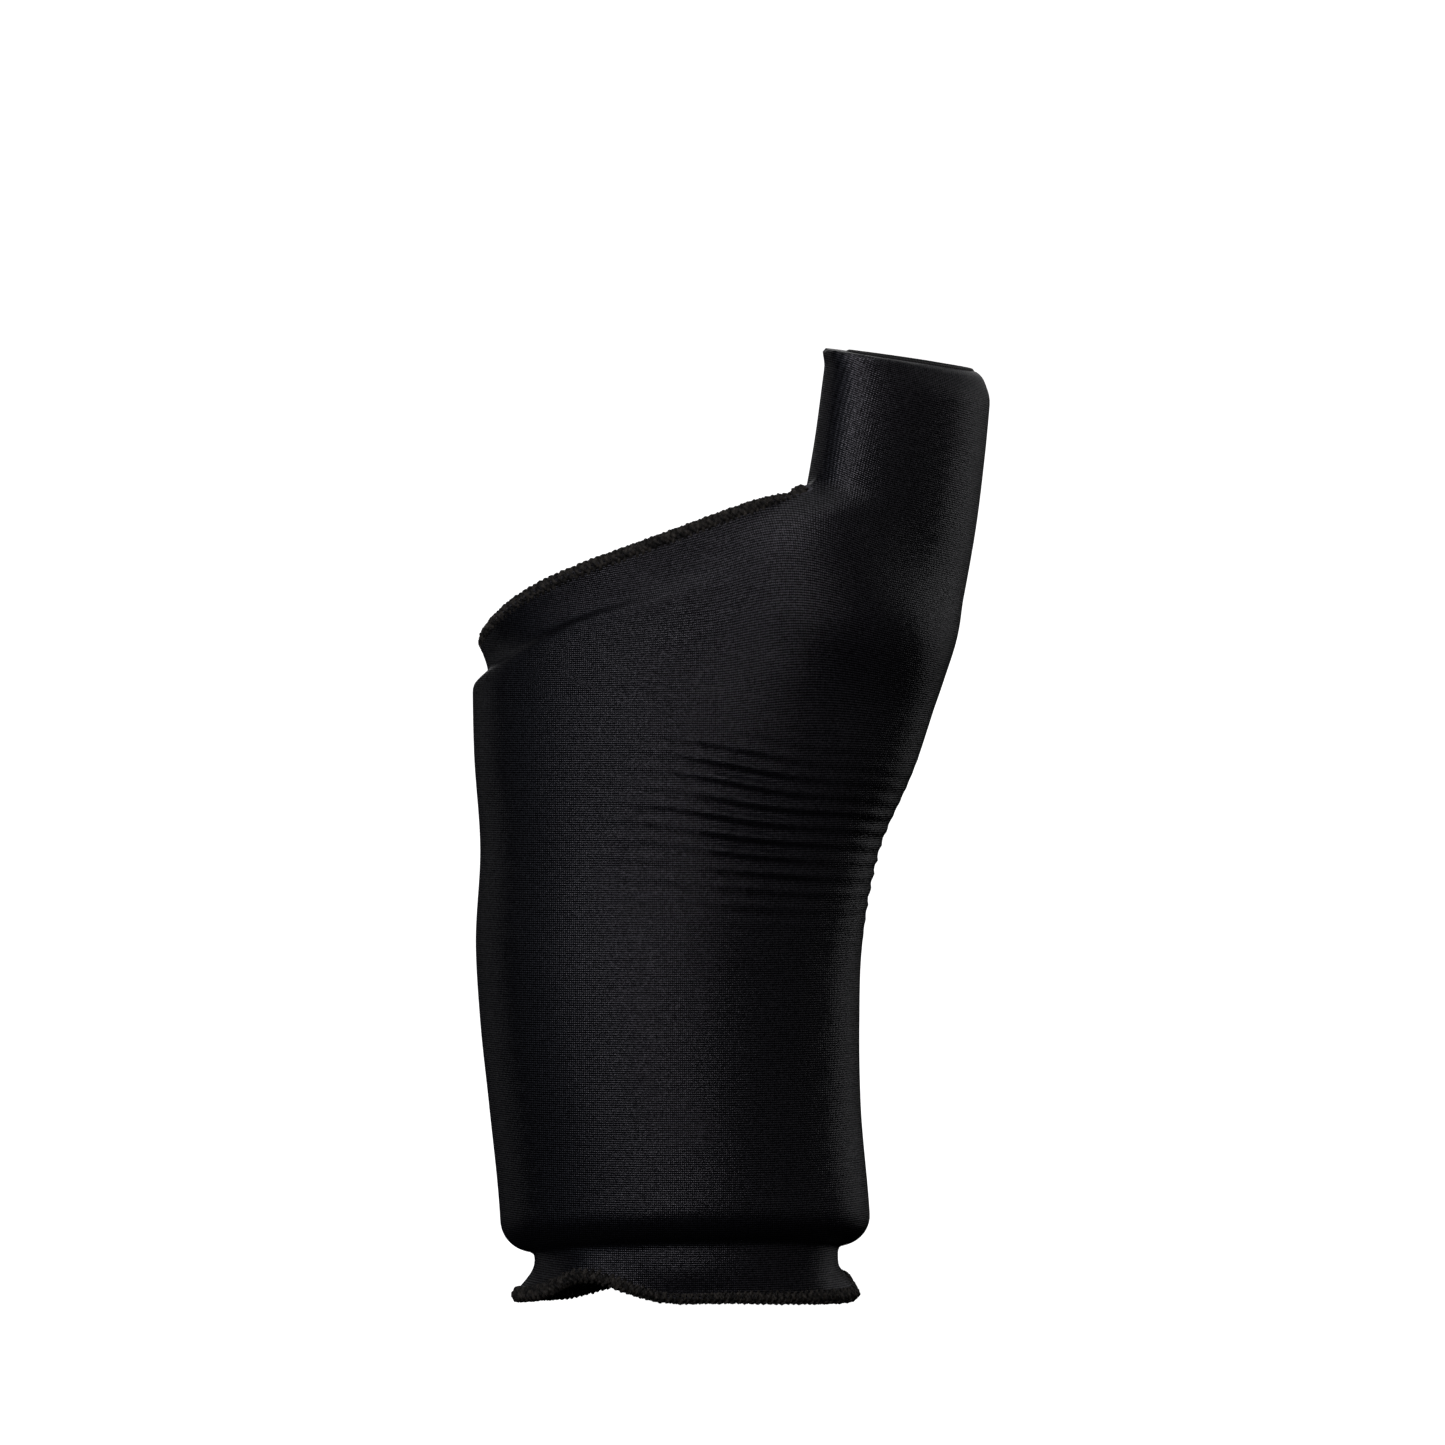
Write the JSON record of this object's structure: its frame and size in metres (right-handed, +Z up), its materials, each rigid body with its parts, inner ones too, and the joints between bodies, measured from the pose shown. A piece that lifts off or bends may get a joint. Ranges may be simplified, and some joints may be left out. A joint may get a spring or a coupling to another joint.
{
  "type": "wrist and thumb support sleeve",
  "caption": "Padded knit sleeve for the wrist and hand with a thumb tube, soft core walls and overlocked edges.",
  "frame": {"origin": "centre of the forearm opening, at the lowest point of its wavy edge", "axes": "+Z up the forearm towards the fingers, +X towards the thumb, -Y out of the back of the hand"},
  "size_m": [0.0956, 0.0538, 0.1767],
  "materials": {
    "knit": "black warp knit with a slight sheen",
    "lining": "brushed black knit",
    "padding": "soft matt gel or foam",
    "thread": "textured black overlock thread"
  },
  "bodies": {
    "forearm": {"outer_cover": "knit", "inner_lining": "lining", "wrist_cuff": "knit", "forearm_pad": "padding", "wrist_edge_stitching": "thread", "closing_seam": "thread"},
    "hand": {"hand_pad": "padding", "hand_band": "knit", "hand_edge_stitching": "thread"},
    "thumb": {"thumb_pad": "padding", "thumb_hem": "knit", "thumb_seam": "thread"}
  },
  "joints": [
    {"name": "wrist_flex", "type": "hinge", "parent": "forearm", "child": "hand", "pos_m": [0, 0, 0.08], "axis": [1, 0, 0], "range_deg": [-15, 15], "stiffness_Nm_per_rad": 0.6, "deforming": ["outer_cover", "inner_lining", "forearm_pad", "hand_pad", "closing_seam"]},
    {"name": "thumb_flex", "type": "hinge", "parent": "hand", "child": "thumb", "pos_m": [0.038, 0.0015, 0.15], "axis": [0, 1, 0], "range_deg": [-12, 12], "stiffness_Nm_per_rad": 0.12, "deforming": ["outer_cover", "inner_lining", "hand_pad", "thumb_pad", "thumb_seam"]}
  ]
}
